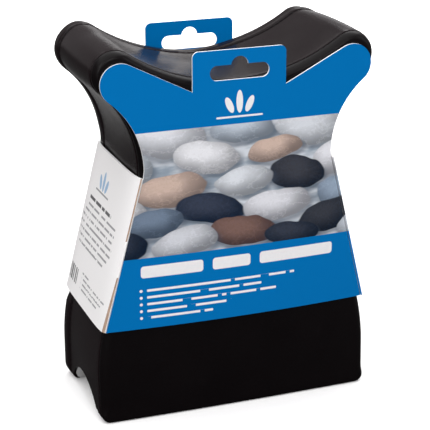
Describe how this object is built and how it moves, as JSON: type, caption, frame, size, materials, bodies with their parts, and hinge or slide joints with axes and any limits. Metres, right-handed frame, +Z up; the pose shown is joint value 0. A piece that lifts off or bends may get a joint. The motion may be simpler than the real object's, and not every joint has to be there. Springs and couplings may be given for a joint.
{
  "type": "pedicure footrest",
  "caption": "Padded footrest block with a cradle between rounded horns, a narrow waist and an arched base, in a wrap-around card sleeve with hang tabs.",
  "frame": {"origin": "middle of the footprint, at floor height", "axes": "+Z up, +X to the right of the front face, -Y towards the front of the block"},
  "size_m": [0.146, 0.0724, 0.1905],
  "materials": {
    "foam": "open-cell foam, hidden under the cover",
    "vinyl": "black upholstery vinyl, fine grain, semi-gloss",
    "thread": "black sewing thread",
    "blue_card": "printed card, satin varnish",
    "white_card": "printed card, satin varnish"
  },
  "bodies": {
    "block": {"foam_core": "foam", "front_cover": "vinyl", "rear_cover": "vinyl", "wrap_band": "vinyl", "bottom_band": "vinyl", "front_seam_thread": "thread", "rear_seam_thread": "thread", "front_card": "blue_card", "rear_card": "blue_card", "right_side_card": "white_card"},
    "left_panel": {"left_side_card": "white_card"}
  },
  "joints": [
    {"name": "rear_left_crease", "type": "hinge", "parent": "block", "child": "left_panel", "pos_m": [-0.06969, 0.03572, 0.0495], "axis": [-0.2447, 0, -0.9696], "range_deg": [0, 90]}
  ]
}
